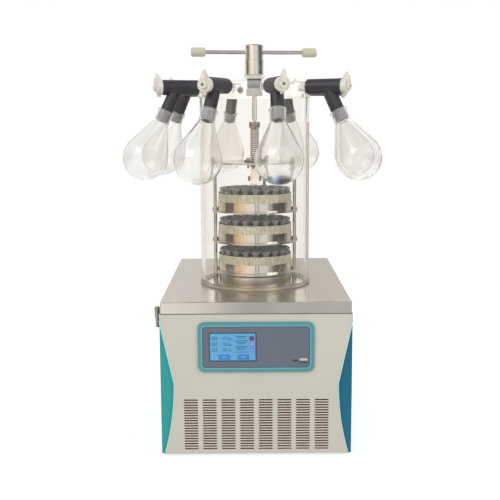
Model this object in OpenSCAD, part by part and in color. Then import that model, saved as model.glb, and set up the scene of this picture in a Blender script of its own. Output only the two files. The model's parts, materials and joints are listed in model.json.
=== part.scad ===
// Benchtop freeze dryer with an eight port manifold and a top press rack.
// Millimetres, +Z up, the front faces -Y. The origin is on the bench, under
// the middle of the whole machine. Modules are drawn about the chamber axis.

/* [Cabinet] */
// Width across the side panels
cab_w = 434; // [390:1:480]
// Depth from the front panel to the rear panel
cab_d = 600; // [560:1:680]
// Height of the top plate above the bench
cab_h = 361; // [330:1:420]
// Distance of the chamber axis behind the front face
chamber_set = 246; // [225:1:280]
// Height of the rubber feet
foot_h = 6; // [4:1:16]
// Depth of the folded lip round the top plate
lip_h = 26; // [18:1:34]
// Sheet thickness of the panels
sheet = 2; // [1.5:0.5:3]
// Height of the narrow waist of the front panel
waist_h = 172; // [150:1:190]
// Inset of the front panel at its waist
waist_in = 31; // [15:1:45]

/* [Front vents] */
// Columns of slots
vent_cols = 8; // [4:1:9]
// Rows of slots
vent_rows = 20; // [8:1:20]
// Width of a slot
slot_w = 31; // [20:1:34]
// Height of a slot
slot_h = 2.9; // [2:0.1:4]

/* [Control panel] */
// Width of the coloured bezel
bezel_w = 262; // [240:1:300]
// Height of the coloured bezel
bezel_h = 115; // [105:1:120]
// Width of the touch screen
screen_w = 106; // [90:1:120]
// Height of the touch screen
screen_h = 66; // [55:1:75]

/* [Chamber] */
// Outside diameter of the clear jar
jar_d = 268; // [256:1:290]
// Wall of the clear jar
jar_wall = 7; // [5:0.5:9]
// Height of the clear jar
jar_h = 447; // [430:1:490]
// Diameter of the steel collar over the cold trap
collar_d = 180; // [150:1:182]

/* [Manifold] */
// Height of the manifold ring
manifold_h = 35; // [34:1:48]
// Turn of the first port from the front
port_turn = 17.5; // [0:0.5:44]
// Tilt of each flask branch from the vertical
branch_tilt = 26; // [20:1:32]
// Outside diameter of a valve tube
tube_d = 35.5; // [32:0.5:38]
// Outside diameter of a flask branch
branch_d = 30; // [26:0.5:31]

/* [Flasks] */
// Diameter of the bulb
bulb_d = 107; // [90:1:112]
// Length of the flask
flask_len = 174; // [160:1:190]
// Wall of the bulb
glass = 1.8; // [1.4:0.1:2.5]

/* [Rack] */
// Height from one shelf to the next
layer_h = 75; // [72:1:80]
// Diameter of a shelf
shelf_d = 213; // [206:1:218]
// Diameter of a tray
tray_d = 183; // [176:1:186]
// Diameter of a vial
vial_d = 22; // [20:0.5:22]
// Diameter of the rack rods
rod_d = 8; // [6:0.5:9]

/* [Press] */
// Diameter of the lead screw
screw_d = 24; // [20:1:26]
// Pitch of the lead screw
screw_pitch = 5; // [4:1:6]
// Length of the cross bar of the handle
bar_len = 306; // [240:1:340]
// Turn of the cross bar from the width of the cabinet
bar_turn = 8; // [0:1:30]

/* [Hidden] */
$fn = 48;

// fits
seat = 0.3;        // gap of a part that is laid or slid into its place
run = 0.05;        // radial clearance of a turning fit
grip_fit = 0.02;   // radial clearance of a pushed or screwed fit
free = 0.5;        // wall clearance of a loose part

// the chamber axis stands this far in front of the origin
set_back = 26;

// cabinet
front_y = -chamber_set;
back_y = front_y + cab_d;
half_w = cab_w / 2;
panel_t = 4;
plate_t = 3;
plate_z = cab_h - plate_t;
floor_z = foot_h + sheet;
trim_w = waist_in + 18;
mid_y = (front_y + back_y) / 2;
shoulder = 4;            // how far the body steps in under the plate
shoulder_z = cab_h - lip_h - 1;

// vents
vent_pitch_x = slot_w * 1.37;
vent_pitch_z = slot_h * 2.1;
vent_low = foot_h + 12;

// control panel
bezel_z = cab_h - 103;
bezel_t = 4;
bezel_band = 9.5;
fascia_w = bezel_w - 2 * bezel_band;
fascia_h = bezel_h - 2 * bezel_band;
screen_x = -fascia_w / 2 + 16 + screen_w / 2;
port_x = fascia_w / 2 - 15;
port_dz = -32;

// chamber
ring_t = 8;
jar_z = cab_h + ring_t;
jar_top = jar_z + jar_h;
jar_r = jar_d / 2;
collar_h = 25;
trap_d = collar_d - 8;
trap_wall = 1.5;
trap_depth = 205;
trap_low = plate_z - trap_depth;

// manifold and lid
man_wall = 16;
flange_h = 5;
boss_d = 42;
boss_out = 6;
man_top = jar_top + manifold_h;
port_z = jar_top + boss_d / 2 + 2;
lid_t = 10;
lid_top = man_top + lid_t;
spigot_d = 21;
tube_in = jar_r + boss_out + 0.3;
tube_out = jar_r + 94;
root_r = jar_r + 58;
stem_d = 24;
stem_in = root_r - 20;
knob_t = 13;
rolls = [-6, 0, 0, 0, 0, 0, 0, 0];
skews = [-3, 0, 0, 0, 0, 0, 0, 0];

// flasks, measured along the branch from the axis of the valve tube
rim_s = 61;
dip = 26;
neck_id = branch_d + 2 * seat;
neck_d = branch_d + 6;
neck_len = 30;
bulb_r = bulb_d / 2;
bulb_s = rim_s + flask_len - bulb_r;

// press, from the hub downwards
washer_h = 10;
hub_low = lid_top + washer_h;
hub_split = hub_low + 35;
hub_d = 47;
upper_d = 45;
upper_h = 36;
shaft_d = 12;
bar_d = 9;
bar_z = hub_split + 18;
gland_d = 35;

// rack: the rods stand clear of the tray, and their feet clear of the trap's collar
rod_foot_d = 12;
rod_r = max(tray_d / 2 + 7, (collar_d + rod_foot_d) / 2 + 2.5);
rod_angles = [0, 75, 180];
rod_foot = collar_h - 2;
shelf_t = 3;
shelf_z = cab_h + collar_h + 6;
function layer_z(i) = shelf_z + shelf_t + i * layer_h;
rack_z = layer_z(2) + 113;
rack_t = 3;
nut_d = 13;
tray_h = 20.5;
vial_ring_h = 40;
vial_h = 46;
stop_top = 53;

// lead screw
foot_low = layer_z(2) + stop_top + 8;
foot_top = foot_low + 42;
screw_top = rack_z + rack_t + 97;
socket_h = 14;

// fan
fan_z = vent_low + 62;
fan_y = front_y + 88;
fan_d = 112;

module rect_round(w, h, r) {
  square([w - 2 * r, h], center = true);
  square([w, h - 2 * r], center = true);
  for (sx = [-1, 1], sy = [-1, 1])
    translate([sx * (w / 2 - r), sy * (h / 2 - r)]) circle(r);
}

// a plate that stands in the X-Z plane and grows towards +Y
module stand(y, t) {
  translate([0, y + t, 0]) rotate([90, 0, 0]) linear_extrude(t) children();
}

// a plain round tube on the Z axis
module ring(d_out, d_in, h) {
  difference() {
    cylinder(d = d_out, h = h);
    translate([0, 0, -1]) cylinder(d = d_in, h = h + 2);
  }
}

module placed() {
  translate([0, -set_back, 0]) children();
}

// ---------------------------------------------------------------- cabinet

module base_pan() {
  w = cab_w - 2 * sheet;
  y0 = front_y + panel_t + sheet;
  y1 = back_y - sheet;
  lip = 14;
  color([0.62, 0.63, 0.64])
  difference() {
    translate([-w / 2, y0, foot_h]) cube([w, y1 - y0, lip]);
    translate([-w / 2 + sheet, y0 + sheet, floor_z])
      cube([w - 2 * sheet, y1 - y0 - 2 * sheet, lip]);
    for (x = [-60, 0, 60], y = [back_y - 220, back_y - 170, back_y - 120])
      translate([x + 90, y, foot_h - 1]) cylinder(d = 8, h = sheet + 2);
  }
}

// The outline is full width at the top, slants to the waist and then
// swings back to the corners along one arc.
function waist_arc_r() =
  let (h = waist_h - foot_h, s = waist_in - 7) (h * h + s * s) / (2 * s);
function waist_x(z) =
  let (r = waist_arc_r(), dz = waist_h - z)
  half_w - waist_in + r - sqrt(r * r - dz * dz);

module front_outline() {
  steps = 14;
  top = plate_z - 1;
  arc = [for (i = [0 : steps])
    let (z = foot_h + (waist_h - foot_h) * i / steps) [waist_x(z), z]];
  right = concat(arc, [[half_w, cab_h - 43], [half_w, shoulder_z],
                       [half_w - shoulder, shoulder_z], [half_w - shoulder, top]]);
  n = len(right);
  left = [for (i = [0 : n - 1]) [-right[n - 1 - i][0], right[n - 1 - i][1]]];
  polygon(concat(right, left));
}

module vent_slots() {
  for (c = [0 : vent_cols - 1], r = [0 : vent_rows - 1])
    translate([(c - (vent_cols - 1) / 2) * vent_pitch_x,
               vent_low + r * vent_pitch_z])
      square([slot_w, slot_h], center = true);
}

module front_panel() {
  color([0.79, 0.78, 0.74])
  stand(front_y, panel_t)
  difference() {
    front_outline();
    vent_slots();
    translate([0, bezel_z])
      rect_round(fascia_w + 2 * seat, fascia_h + 2 * seat, 8 + seat);
  }
}

// side panel with a return flange behind the front panel; its top edge steps in
// under the lip of the plate
module side_sheet() {
  y0 = front_y + panel_t;
  h = shoulder_z - foot_h;
  translate([half_w - sheet, y0, foot_h]) cube([sheet, back_y - y0, h]);
  translate([half_w - trim_w, y0, foot_h]) cube([trim_w, sheet, h]);
  translate([half_w - trim_w, y0, foot_h]) cube([trim_w - shoulder, sheet, plate_z - foot_h]);
  translate([half_w - shoulder, y0, shoulder_z - sheet])
    cube([shoulder - sheet / 2, back_y - y0, sheet]);
  translate([half_w - shoulder - sheet, y0, shoulder_z - sheet])
    cube([sheet + 0.5, back_y - y0 - sheet, sheet]);
  translate([half_w - shoulder - sheet, y0, shoulder_z - sheet])
    cube([sheet, back_y - y0 - sheet, plate_z - shoulder_z + sheet]);
}

module left_side_panel() {
  color([0.23, 0.62, 0.61])
  difference() {
    mirror([1, 0, 0]) side_sheet();
    translate([-half_w - 1, vent_y, vent_z]) rotate([0, 90, 0])
      cylinder(d = 10 + 2 * seat, h = sheet + 2);
  }
}

module right_side_panel() {
  color([0.15, 0.45, 0.55])
  side_sheet();
}

inlet_x = -half_w + 70;
inlet_z = foot_h + 60;
outlet_z = plate_z - 38;

module rear_panel() {
  w = cab_w - 2 * sheet;
  h = plate_z - foot_h;
  color([0.79, 0.78, 0.74])
  stand(back_y - sheet, sheet)
  difference() {
    union() {
      translate([-w / 2, foot_h]) square([w, shoulder_z - sheet - foot_h]);
      translate([shoulder - half_w, foot_h]) square([2 * (half_w - shoulder), h]);
    }
    translate([inlet_x, inlet_z]) square([56 + 2 * seat, 30 + 2 * seat], center = true);
    translate([0, outlet_z]) circle(d = 29);
    for (c = [0 : 3], r = [0 : 11])
      translate([20 + c * 42, foot_h + 40 + r * 9]) square([32, 4], center = true);
  }
}

module top_plate() {
  over = 2;
  inner_w = cab_w - 2 * shoulder;
  w = inner_w + 2 * over;
  d = cab_d + 2 * over;
  r = 5;
  e = 2;
  color([0.78, 0.76, 0.72])
  difference() {
    union() {
      translate([0, mid_y, cab_h - lip_h]) linear_extrude(lip_h - e) rect_round(w, d, r);
      translate([0, mid_y, cab_h - e]) {
        for (s = [-1, 1]) {
          translate([s * (w / 2 - r), 0, 0])
            rotate([90, 0, 0]) linear_extrude(d - 2 * r, center = true) plate_edge(s, r, e);
          translate([0, s * (d / 2 - r), 0])
            rotate([90, 0, 90]) linear_extrude(w - 2 * r, center = true)
              plate_edge(s, r, e);
          for (t = [-1, 1])
            translate([s * (w / 2 - r), t * (d / 2 - r), 0])
              rotate_extrude() plate_edge(1, r, e);
        }
        linear_extrude(e) square([w - 2 * r, d - 2 * r], center = true);
      }
    }
    translate([-inner_w / 2, front_y, cab_h - lip_h - 1])
      cube([inner_w, cab_d, lip_h - plate_t + 1]);
    translate([0, 0, plate_z - 1]) cylinder(d = trap_d + 1, h = plate_t + 2, $fn = 96);
  }
}

// section of the rounded edge of the plate: a block with a quarter round
module plate_edge(s, r, e) {
  scale([s, 1]) {
    square([r - e, e]);
    intersection() {
      translate([r - e, 0]) circle(e);
      translate([r - e, 0]) square(e);
    }
  }
}

module feet() {
  color([0.12, 0.12, 0.13])
  for (x = [-1, 1], y = [front_y + 45, back_y - 45])
    translate([x * (half_w - 40), y, 0]) cylinder(d1 = 30, d2 = 34, h = foot_h);
}

// ---------------------------------------------------------------- control panel

module display_bezel() {
  color([0.30, 0.58, 0.60])
  stand(front_y - bezel_t, bezel_t)
  translate([0, bezel_z])
  difference() {
    rect_round(bezel_w, bezel_h, 15);
    rect_round(fascia_w + 2 * seat, fascia_h + 2 * seat, 8 + seat);
  }
}

module control_panel() {
  color([0.40, 0.43, 0.48])
  difference() {
    union() {
      stand(front_y - 2, panel_t + 2)
        translate([0, bezel_z]) rect_round(fascia_w, fascia_h, 8);
      stand(front_y + panel_t, 2)
        translate([0, bezel_z]) rect_round(fascia_w + 10, fascia_h + 10, 8);
    }
    stand(front_y - 3, 5) translate([screen_x, bezel_z])
      square([screen_w + 2 * seat, screen_h + 2 * seat], center = true);
    stand(front_y, 10) translate([screen_x, bezel_z])
      square([screen_w - 10, screen_h - 10], center = true);
    stand(front_y - 3, 2.5) translate([port_x, bezel_z + port_dz])
      rect_round(18 + 2 * seat, 11.5 + 2 * seat, 3);
  }
}

module touch_screen() {
  color([0.39, 0.65, 0.81])
  stand(front_y - 1, 3) translate([screen_x, bezel_z])
    square([screen_w, screen_h], center = true);
}

module usb_port() {
  color([0.90, 0.90, 0.88])
  difference() {
    stand(front_y - 3.2, 2.7) translate([port_x, bezel_z + port_dz]) rect_round(18, 11.5, 3);
    stand(front_y - 4, 2) translate([port_x, bezel_z + port_dz]) square([12.5, 5], center = true);
  }
}

module control_board() {
  y = front_y + panel_t + 12;
  color([0.10, 0.35, 0.20])
  union() {
    stand(y, 1.6) translate([0, bezel_z]) square([190, 84], center = true);
    for (x = [-1, 1], z = [-1, 1])
      translate([x * 88, y, bezel_z + z * 36]) rotate([90, 0, 0])
        cylinder(d = 6, h = 10);
    translate([-60, y + 1.6, bezel_z - 20]) cube([40, 22, 34]);
    translate([10, y + 1.6, bezel_z - 30]) cube([26, 8, 26]);
    translate([50, y + 1.6, bezel_z - 34]) cube([34, 14, 12]);
    for (x = [0, 18, 36])
      translate([x + 12, y + 1.6, bezel_z + 22]) rotate([-90, 0, 0])
        cylinder(d = 14, h = 24);
  }
}

// ---------------------------------------------------------------- side valve and rear inlet

vent_y = front_y + 47;
vent_z = cab_h - 38;
vent_x = -half_w - 9;

module vent_valve_body() {
  color([0.55, 0.54, 0.50])
  difference() {
    union() {
      translate([vent_x, vent_y, vent_z]) rotate([0, 90, 0]) cylinder(d = 10, h = 19);
      translate([-half_w - 2.6, vent_y, vent_z]) rotate([0, 90, 0])
        cylinder(d = 17, h = 2.6, $fn = 6);
      translate([vent_x, vent_y, vent_z - 8]) cylinder(d = 12, h = 16);
      translate([vent_x, vent_y, vent_z - 30]) cylinder(d = 7, h = 23);
      for (k = [0 : 3])
        translate([vent_x, vent_y, vent_z - 30 + k * 5])
          cylinder(d1 = 7.5, d2 = 10, h = 4);
    }
    translate([vent_x, vent_y, vent_z - 31]) cylinder(d = 4, h = 33);
    translate([vent_x, vent_y, vent_z]) rotate([0, 90, 0]) cylinder(d = 4, h = 20);
    translate([vent_x, vent_y, vent_z + 2]) cylinder(d = 6, h = 7);
  }
}

module vent_valve_knob() {
  top = vent_z + 8 + seat;
  color([0.70, 0.70, 0.68])
  union() {
    translate([vent_x, vent_y, top]) cylinder(d = 11, h = 10);
    for (a = [0 : 30 : 330])
      translate([vent_x, vent_y, top]) rotate([0, 0, a])
        translate([4.9, -0.7, 0]) cube([1.2, 1.4, 8]);
    translate([vent_x, vent_y, vent_z + 3]) cylinder(d = 6 - 2 * run, h = 6);
  }
}

module power_inlet() {
  color([0.13, 0.13, 0.14])
  difference() {
    union() {
      stand(back_y, 2) translate([inlet_x, inlet_z]) rect_round(64, 38, 4);
      stand(back_y - 26, 26) translate([inlet_x, inlet_z]) square([56, 30], center = true);
    }
    // three pin well
    stand(back_y - 16, 20) translate([inlet_x + 11, inlet_z]) rect_round(28, 22, 3);
    // well of the rocker
    stand(back_y - 12, 20) translate([inlet_x - 17, inlet_z]) square([13, 23], center = true);
    // rocker pivot
    translate([inlet_x - 26, back_y - 3, inlet_z]) rotate([0, 90, 0])
      cylinder(d = 3 + 2 * run, h = 18);
  }
  color([0.75, 0.72, 0.60])
  for (p = [[-7, -3], [0, 4], [7, -3]])
    translate([inlet_x + 11 + p[0], back_y - 16, inlet_z + p[1]])
      translate([-1, 0, -2]) cube([2, 13, 4]);
}

rocker_tilt = 6;

module power_switch() {
  color([0.70, 0.12, 0.10])
  translate([0, back_y - 3, inlet_z]) rotate([rocker_tilt, 0, 0])
  translate([0, 3 - back_y, -inlet_z])
  union() {
    difference() {
      translate([inlet_x - 17 - 5.9, back_y - 8, inlet_z - 9.5]) cube([11.8, 12, 19]);
      translate([inlet_x - 25, back_y + 22.6, inlet_z]) rotate([0, 90, 0])
        cylinder(r = 20, h = 16);
    }
    translate([inlet_x - 17 - 8, back_y - 3, inlet_z]) rotate([0, 90, 0])
      cylinder(d = 3, h = 16);
  }
}

// ---------------------------------------------------------------- refrigeration

module cold_trap() {
  d_in = trap_d - 2 * trap_wall;
  pipe_end = back_y + 20;
  color([0.74, 0.74, 0.73])
  difference() {
    union() {
      translate([0, 0, trap_low]) cylinder(d = trap_d, h = trap_depth, $fn = 96);
      translate([0, 0, plate_z - 2]) cylinder(d = trap_d + 24, h = 2, $fn = 96);
      translate([0, pipe_end, outlet_z]) rotate([90, 0, 0])
        cylinder(d = 28, h = pipe_end - trap_d / 2 + 6);
      translate([0, pipe_end, outlet_z]) rotate([90, 0, 0]) cylinder(d = 40, h = 4);
    }
    translate([0, 0, trap_low + trap_wall])
      cylinder(d = d_in, h = trap_depth + 1, $fn = 96);
    translate([0, pipe_end + 1, outlet_z]) rotate([90, 0, 0])
      cylinder(d = 24, h = pipe_end - trap_d / 2 + 12);
  }
}

module evaporator_coil() {
  pipe = 9;
  r = trap_d / 2 + pipe / 2 + 0.2;
  turns = 9;
  z0 = trap_low + 16;
  color([0.72, 0.42, 0.26])
  union() {
    for (k = [0 : turns - 1])
      translate([0, 0, z0 + k * 13.5]) rotate_extrude($fn = 72)
        translate([r, 0]) circle(d = pipe, $fn = 24);
    for (a = [-35, 35])
      rotate([0, 0, a]) translate([0, r + 2, z0 - 6])
        cylinder(d = pipe, h = (turns - 1) * 13.5 + 12, $fn = 24);
  }
}

comp_x = -75;
comp_y = back_y - 125;

module compressor() {
  color([0.10, 0.10, 0.11])
  translate([comp_x, comp_y, floor_z]) {
    translate([0, 0, 20]) rotate_extrude($fn = 64)
      polygon([[0, 0], [50, 0], [66, 6], [74, 18], [75, 30], [75, 90],
               [78, 90], [78, 96], [75, 96], [74, 120], [66, 138], [50, 150],
               [28, 157], [0, 157]]);
    for (x = [-1, 1], y = [-1, 1])
      translate([x * 62, y * 62, 0]) {
        cylinder(d = 22, h = 14);
        translate([0, 0, 14]) cylinder(d = 30, h = 3);
      }
    translate([-78, -78, 17]) cube([156, 156, 4]);
    translate([60, -24, 60]) cube([34, 48, 56]);
    for (a = [120, 200])
      rotate([0, 0, a]) translate([66, 0, 70]) rotate([0, 90, 0]) cylinder(d = 8, h = 30);
  }
}

module condenser() {
  w = 300;
  h = 124;
  y = front_y + panel_t + 16;
  color([0.66, 0.67, 0.68])
  union() {
    translate([0, y, floor_z]) linear_extrude(h) {
      for (k = [0 : 49])
        translate([-w / 2 + k * w / 49 - 0.5, 0]) square([1, 36]);
      translate([-w / 2, 16]) square([w, 4]);
    }
    for (x = [-1, 1])
      translate([x * (w / 2 + 1) - 1.5, y, floor_z]) cube([3, 36, h + 4]);
  }
}

module fan_shroud() {
  y = front_y + panel_t + 16 + 36;
  w = 302;
  color([0.20, 0.20, 0.22])
  union() {
    difference() {
      union() {
        translate([-w / 2, y, floor_z]) cube([w, 3, 124]);
        translate([0, y + 26, fan_z]) rotate([90, 0, 0])
          cylinder(d = fan_d + 12, h = 24, $fn = 72);
      }
      translate([0, y + 30, fan_z]) rotate([90, 0, 0])
        cylinder(d = fan_d + 6, h = 40, $fn = 72);
    }
    // motor on three arms
    difference() {
      union() {
        translate([0, y + 62, fan_z]) rotate([90, 0, 0]) cylinder(d = 58, h = 32);
        for (a = [90, 210, 330])
          translate([0, y + 26, fan_z]) rotate([0, a, 0])
            translate([20, 0, -4]) cube([(fan_d + 11) / 2 - 20, 5, 8]);
      }
      translate([0, y + 50, fan_z]) rotate([90, 0, 0])
        cylinder(d = 6 + 2 * run, h = 60);
    }
  }
}

module fan_blades() {
  y = front_y + panel_t + 16 + 36 + 4;
  color([0.75, 0.76, 0.78])
  union() {
    translate([0, y + 18, fan_z]) rotate([90, 0, 0]) cylinder(d = 34, h = 16);
    translate([0, y + 42, fan_z]) rotate([90, 0, 0]) cylinder(d = 6, h = 30);
    for (a = [0 : 72 : 288])
      translate([0, y + 10, fan_z]) rotate([0, a, 0]) rotate([28, 0, 0])
        translate([15, -0.9, -15]) cube([fan_d / 2 - 18, 1.8, 30]);
  }
}

// ---------------------------------------------------------------- chamber

module seal_ring() {
  color([0.90, 0.89, 0.86])
  translate([0, 0, cab_h]) ring(jar_d + 6, jar_d - 2 * jar_wall - 6, ring_t, $fn = 128);
}

module trap_collar() {
  spigot = trap_d - 2 * trap_wall - 2 * seat;
  color([0.80, 0.79, 0.77])
  difference() {
    union() {
      translate([0, 0, cab_h]) cylinder(d = collar_d, h = collar_h, $fn = 96);
      translate([0, 0, cab_h - 20]) cylinder(d = spigot, h = 21, $fn = 96);
    }
    translate([0, 0, cab_h - 21])
      cylinder(d = spigot - 3, h = collar_h + 30, $fn = 96);
    translate([0, 0, cab_h - 1]) difference() {
      cylinder(d = collar_d - 3, h = collar_h - 0.5, $fn = 96);
      translate([0, 0, -1]) cylinder(d = spigot, h = collar_h + 2, $fn = 96);
    }
  }
}

module bell_jar() {
  color([0.92, 0.93, 0.92, 0.35])
  translate([0, 0, jar_z]) ring(jar_d, jar_d - 2 * jar_wall, jar_h, $fn = 128);
}

module at_port(i) {
  rotate([0, 0, port_turn - 90 + 45 * i + skews[i]])
    translate([0, 0, port_z]) rotate([rolls[i], 0, 0]) children();
}

module manifold() {
  inner = jar_d - 2 * man_wall;
  color([0.92, 0.92, 0.90, 0.4])
  difference() {
    union() {
      translate([0, 0, jar_top]) cylinder(d = jar_d, h = manifold_h, $fn = 128);
      translate([0, 0, jar_top]) cylinder(d = jar_d + 4, h = flange_h, $fn = 128);
      intersection() {
        union() for (i = [0 : 7])
          at_port(i) translate([jar_r - man_wall / 2, 0, 0]) rotate([0, 90, 0])
            cylinder(d = boss_d, h = man_wall / 2 + boss_out);
        translate([-jar_d, -jar_d, jar_top]) cube([2 * jar_d, 2 * jar_d, manifold_h]);
      }
    }
    translate([0, 0, jar_top - 1]) cylinder(d = inner, h = manifold_h + 2, $fn = 128);
    for (i = [0 : 7])
      at_port(i) translate([inner / 2 - 4, 0, 0]) rotate([0, 90, 0])
        cylinder(d = spigot_d + 2 * seat, h = man_wall + boss_out + 8);
  }
}

module lid() {
  plug = jar_d - 2 * man_wall - 2 * free;
  color([0.92, 0.93, 0.92, 0.4])
  difference() {
    union() {
      translate([0, 0, man_top]) cylinder(d = jar_d, h = lid_t, $fn = 128);
      translate([0, 0, man_top - 8]) ring(plug, plug - 14, 9, $fn = 128);
    }
    translate([0, 0, man_top - 20]) cylinder(d = gland_d + 2 * seat, h = 60);
  }
}

module lid_gland() {
  color([0.72, 0.71, 0.70])
  difference() {
    union() {
      translate([0, 0, hub_low]) cylinder(d = hub_d, h = hub_split - hub_low);
      translate([0, 0, lid_top - 31]) cylinder(d = gland_d, h = 31 + washer_h + 1);
    }
    translate([0, 0, lid_top - 40]) cylinder(d = shaft_d + 2 * run, h = 100);
  }
}

module gland_washers() {
  color([0.93, 0.93, 0.91])
  {
    translate([0, 0, lid_top]) ring(hub_d + 3, gland_d + 2 * seat, washer_h);
    translate([0, 0, lid_top - 40]) difference() {
      cylinder(d = gland_d + 5, h = 17);
      translate([0, 0, 9]) cylinder(d = gland_d + 2 * seat, h = 10);
      translate([0, 0, -1]) cylinder(d = shaft_d + 1, h = 20);
    }
  }
}

// ---------------------------------------------------------------- press handle and screw

module handle_hub() {
  color([0.74, 0.73, 0.72])
  difference() {
    union() {
      translate([0, 0, hub_split + seat]) cylinder(d = upper_d, h = upper_h - 2 - seat);
      translate([0, 0, hub_split + upper_h - 2])
        cylinder(d1 = upper_d, d2 = upper_d - 4, h = 2);
    }
    translate([0, 0, hub_split - 1]) cylinder(d = shaft_d + 2 * grip_fit, h = 14);
    translate([0, 0, bar_z]) rotate([0, 0, bar_turn]) rotate([0, 90, 0])
      cylinder(d = bar_d + 2 * grip_fit, h = 60, center = true);
  }
}

module handle_bar() {
  color([0.70, 0.69, 0.68])
  translate([0, 0, bar_z]) rotate([0, 0, bar_turn]) rotate([0, 90, 0])
    cylinder(d = bar_d, h = bar_len - 6, center = true);
}

module grip() {
  difference() {
    rotate_extrude()
      polygon([[0, 0], [7.5, 0], [9.5, 1.5], [11, 4], [11, 31], [10.3, 33.5],
               [8.5, 35], [0, 35]]);
    translate([0, 0, -1]) cylinder(d = bar_d + 2 * grip_fit, h = 33);
  }
}

module handle_grips() {
  color([0.78, 0.77, 0.68])
  translate([0, 0, bar_z]) rotate([0, 0, bar_turn])
    for (s = [0, 180])
      rotate([0, 0, s]) translate([bar_len / 2 - 35, 0, 0]) rotate([0, 90, 0]) grip();
}

module drive_shaft() {
  tip = screw_top - socket_h + 1;
  color([0.70, 0.69, 0.68])
  union() {
    translate([0, 0, screw_top + 4])
      cylinder(d = shaft_d, h = hub_split + 13 - screw_top - 4);
    translate([-4, -4, tip]) cube([8, 8, screw_top + 5 - tip]);
  }
}

module lead_screw() {
  root = screw_d - screw_pitch;
  n = floor((screw_top - socket_h - foot_top - 2) / screw_pitch);
  z0 = screw_top - socket_h - n * screw_pitch;
  color([0.60, 0.60, 0.60])
  difference() {
    union() {
      translate([0, 0, foot_top - 20]) cylinder(d = shaft_d, h = 30);
      translate([0, 0, foot_top + seat]) cylinder(d = root, h = screw_top - foot_top - 2);
      for (k = [0 : n - 1])
        translate([0, 0, z0 + k * screw_pitch]) rotate_extrude()
          polygon([[0, 0], [root / 2 - 0.1, 0], [screw_d / 2, screw_pitch * 0.27],
                   [screw_d / 2, screw_pitch * 0.6], [root / 2 - 0.1, screw_pitch * 0.87],
                   [0, screw_pitch * 0.87]]);
      translate([0, 0, screw_top - socket_h]) cylinder(d = screw_d + 3, h = socket_h);
    }
    // square socket for the end of the drive shaft
    translate([-4.3, -4.3, screw_top - socket_h - 8]) cube([8.6, 8.6, 40]);
  }
}

module screw_nut() {
  z = rack_z + rack_t;
  color([0.66, 0.64, 0.60])
  difference() {
    union() {
      translate([0, 0, z]) cylinder(d = 52, h = 5);
      translate([0, 0, rack_z - 6]) cylinder(d = 33, h = 12);
      for (a = [20, 140, 260])
        rotate([0, 0, a]) translate([21, 0, 0]) {
          translate([0, 0, z + 4]) cylinder(d = 8.5, h = 4.5, $fn = 6);
          translate([0, 0, rack_z - 14]) cylinder(d = 5, h = rack_t + 16);
          translate([0, 0, rack_z - 4.2]) cylinder(d = 8, h = 4.2, $fn = 6);
        }
    }
    translate([0, 0, rack_z - 8]) cylinder(d = screw_d + 2 * run, h = 30);
  }
}

module press_foot() {
  color([0.88, 0.85, 0.78])
  difference() {
    union() {
      translate([0, 0, foot_low]) cylinder(d = 28, h = 4);
      translate([0, 0, foot_low]) cylinder(d = 22, h = foot_top - foot_low);
    }
    translate([0, 0, foot_top - 20 - seat]) cylinder(d = shaft_d + 2 * run, h = 30);
  }
}

// ---------------------------------------------------------------- rack

module at_rods() {
  for (a = rod_angles)
    rotate([0, 0, a]) translate([rod_r, 0, 0]) children();
}

module rack_top_plate() {
  color([0.78, 0.77, 0.75])
  difference() {
    translate([0, 0, rack_z]) cylinder(d = shelf_d - 4, h = rack_t, $fn = 96);
    translate([0, 0, rack_z - 1]) cylinder(d = 33 + 2 * seat, h = rack_t + 2);
    translate([0, 0, rack_z - 1]) at_rods() cylinder(d = rod_d + 2 * run, h = rack_t + 2);
    for (a = [20, 140, 260])
      rotate([0, 0, a]) translate([21, 0, rack_z - 1])
        cylinder(d = 5 + 2 * run, h = rack_t + 2);
  }
}

module rack_rods() {
  top = rack_z + rack_t;
  color([0.76, 0.76, 0.75])
  at_rods() {
    translate([0, 0, cab_h + 4]) cylinder(d = rod_d, h = top + 4 - cab_h);
    // foot
    translate([0, 0, cab_h]) difference() {
      cylinder(d = rod_foot_d, h = rod_foot);
      translate([0, 0, 4]) cylinder(d = rod_d + 2 * run, h = rod_foot);
    }
    // nuts under and over each shelf
    for (i = [0 : 2], s = [-shelf_t - 5, 0])
      translate([0, 0, layer_z(i) + s]) difference() {
        cylinder(d = nut_d, h = 5, $fn = 6);
        translate([0, 0, -1]) cylinder(d = rod_d + 2 * run, h = 7);
      }
    // dome nut and jam nut of the top plate
    translate([0, 0, rack_z - 5]) difference() {
      cylinder(d = nut_d, h = 5, $fn = 6);
      translate([0, 0, -1]) cylinder(d = rod_d + 2 * run, h = 7);
    }
    translate([0, 0, top]) difference() {
      union() {
        cylinder(d = 14, h = 6, $fn = 6);
        cylinder(d = 11.5, h = 9);
        translate([0, 0, 9]) cylinder(d1 = 11.5, d2 = 7, h = 3);
      }
      translate([0, 0, -1]) cylinder(d = rod_d + 2 * run, h = 9.3);
    }
  }
}

module shelves() {
  color([0.78, 0.77, 0.75])
  for (i = [0 : 2])
    difference() {
      translate([0, 0, layer_z(i) - shelf_t]) cylinder(d = shelf_d, h = shelf_t, $fn = 96);
      translate([0, 0, layer_z(i) - shelf_t - 1]) at_rods()
        cylinder(d = rod_d + 2 * run, h = shelf_t + 2);
    }
}

module trays() {
  color([0.80, 0.79, 0.77])
  for (i = [0 : 2])
    difference() {
      translate([0, 0, layer_z(i)]) cylinder(d = tray_d, h = tray_h, $fn = 96);
      translate([0, 0, layer_z(i) + 1]) cylinder(d = tray_d - 2, h = tray_h, $fn = 96);
    }
}

module vial_rings() {
  color([0.80, 0.80, 0.76])
  for (i = [0 : 2])
    translate([0, 0, layer_z(i) + 1])
      ring(tray_d - 2 - 2 * seat, tray_d - 4 - 2 * seat, vial_ring_h, $fn = 96);
}

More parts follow.
